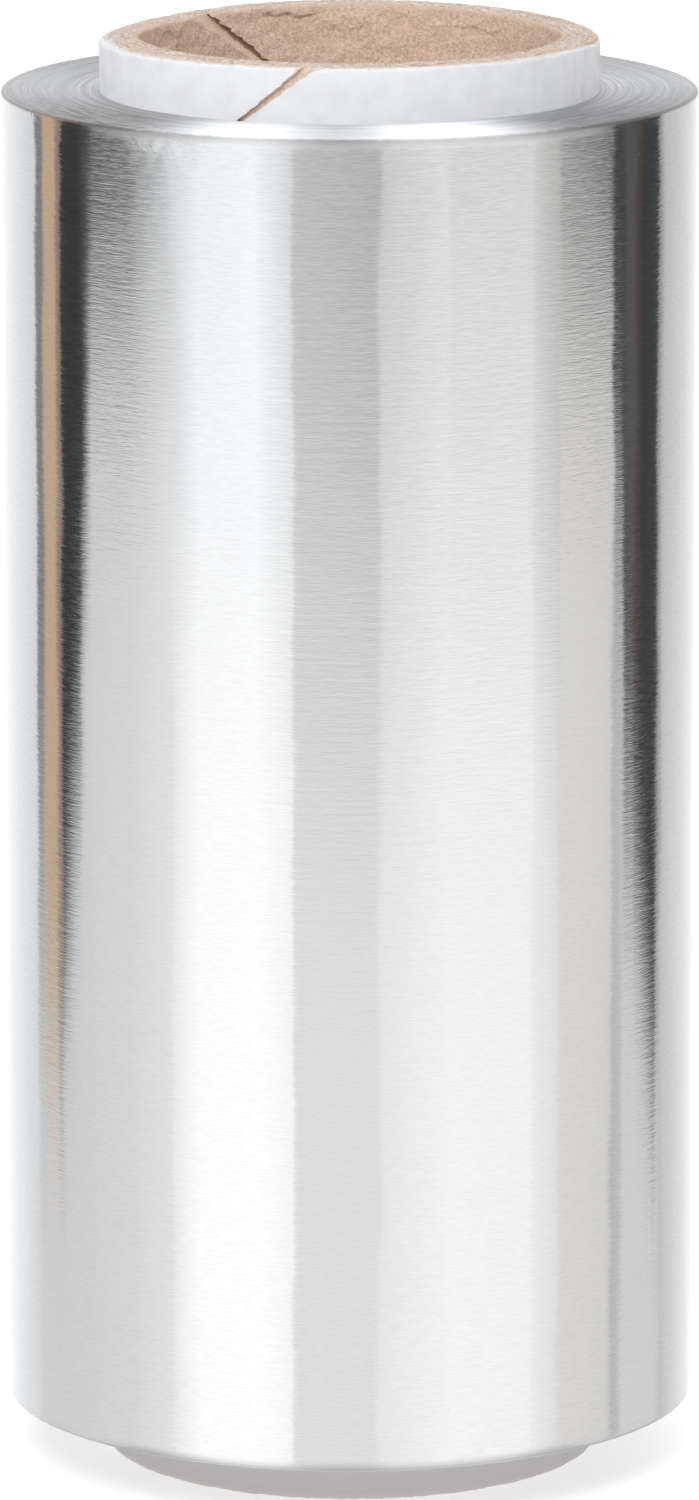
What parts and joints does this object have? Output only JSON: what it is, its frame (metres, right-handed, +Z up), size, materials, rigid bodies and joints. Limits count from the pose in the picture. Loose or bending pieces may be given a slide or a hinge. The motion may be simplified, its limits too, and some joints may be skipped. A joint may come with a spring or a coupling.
{
  "type": "aluminium foil roll",
  "caption": "Long narrow web of thin bare aluminium foil wound tight on a spiral paper tube whose ends stand out of the winding.",
  "frame": {"origin": "centre of the tube's lower end, on the surface that the roll stands on", "axes": "+Z up along the tube's axis, -Y towards the front, +X to the right"},
  "size_m": [0.0628, 0.0626, 0.13],
  "materials": {
    "foil": "satin",
    "white_paper": "matte",
    "grey_board": "matte",
    "kraft_paper": "matte"
  },
  "bodies": {
    "root": {"foil_winding": "foil", "core_outer_ply": "white_paper", "core_board": "grey_board", "core_inner_ply": "kraft_paper"}
  },
  "joints": []
}
